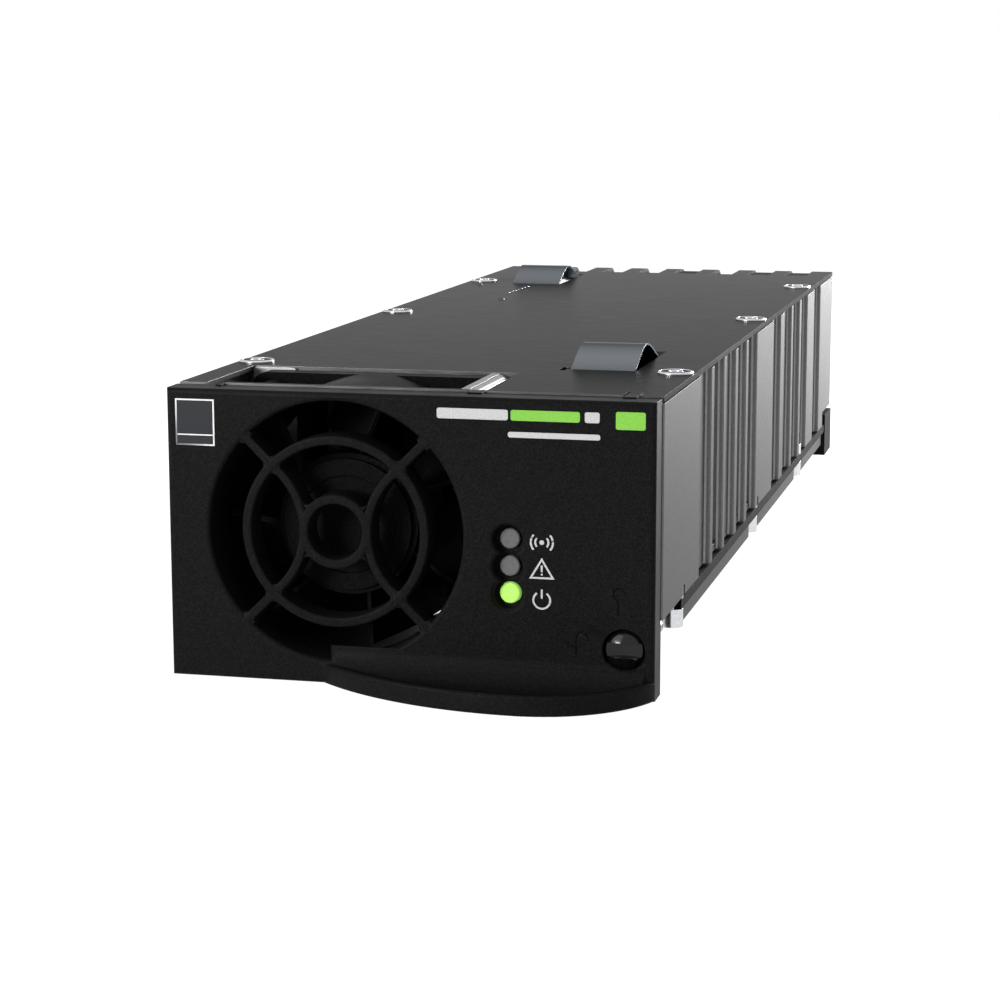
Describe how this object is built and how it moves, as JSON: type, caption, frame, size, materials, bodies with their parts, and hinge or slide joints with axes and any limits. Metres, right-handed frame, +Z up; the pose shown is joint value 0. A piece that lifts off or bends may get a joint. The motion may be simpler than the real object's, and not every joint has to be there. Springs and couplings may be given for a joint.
{
  "type": "rectifier module",
  "caption": "Slim plug-in rectifier module for a rack power shelf: bezel with round fan grille, status lights, lock screw and handle lip, fluted metal case, grounding springs, rear plug.",
  "frame": {"origin": "middle of the bounding box at its underside, which is the underside of the front bezel and its handle lip", "axes": "+X to the right seen from the front, +Y from the bezel to the rear connector, +Z up"},
  "size_m": [0.0722, 0.2312, 0.0459],
  "materials": {
    "bezel_plastic": "fine spark-eroded texture, near black",
    "lock_plastic": "smooth, glossy, black",
    "light_grey": "translucent lens, unlit",
    "light_green": "translucent lens, lit green",
    "board_green": "solder mask",
    "fan_plastic": "moulded, black",
    "copper": "enamelled winding wire",
    "zinc": "bright zinc plated",
    "bright_sheet": "mill finish",
    "cover_sheet": "brushed along the depth",
    "spring_steel": "rolled spring strip",
    "wall_metal": "extruded, clear finish",
    "board_black": "black solder mask",
    "tray_sheet": "mill finish",
    "sleeve_black": "shrink sleeve, black",
    "ferrite": "sintered, dark grey",
    "sleeve_blue": "shrink sleeve, dark blue",
    "frame_plastic": "moulded, black",
    "gold": "gold-flashed contact"
  },
  "bodies": {
    "module": {"front_bezel": "bezel_plastic", "light_top": "light_grey", "light_middle": "light_grey", "light_bottom": "light_green", "light_board": "board_green", "fan_frame": "fan_plastic", "fan_stator": "copper", "fan_screws": "zinc", "front_strip": "bright_sheet", "air_baffle": "bright_sheet", "top_cover": "cover_sheet", "cover_screws": "zinc", "spring_front": "spring_steel", "spring_rear": "spring_steel", "wall_right": "wall_metal", "wall_left": "wall_metal", "main_board": "board_black", "bottom_tray": "tray_sheet", "standoffs": "zinc", "bulk_capacitors": "sleeve_black", "input_choke": "copper", "heat_sinks": "wall_metal", "transformer_core": "ferrite", "transformer_winding": "copper", "control_board": "board_green", "output_capacitors": "sleeve_blue", "output_choke": "ferrite", "rear_frame": "frame_plastic", "rear_connector": "frame_plastic", "power_contacts": "gold", "signal_contacts": "gold"},
    "fan": {"fan_rotor": "fan_plastic", "fan_blades": "fan_plastic"},
    "lock": {"lock_screw": "lock_plastic"}
  },
  "joints": [
    {"name": "fan_spin", "type": "hinge", "parent": "module", "child": "fan", "pos_m": [-0.01082, -0.09175, 0.02245], "axis": [0, 1, 0], "continuous": true},
    {"name": "lock_turn", "type": "hinge", "parent": "module", "child": "lock", "pos_m": [0.03148, -0.10075, 0.0073], "axis": [0, 1, 0], "range_deg": [0, 90]}
  ]
}
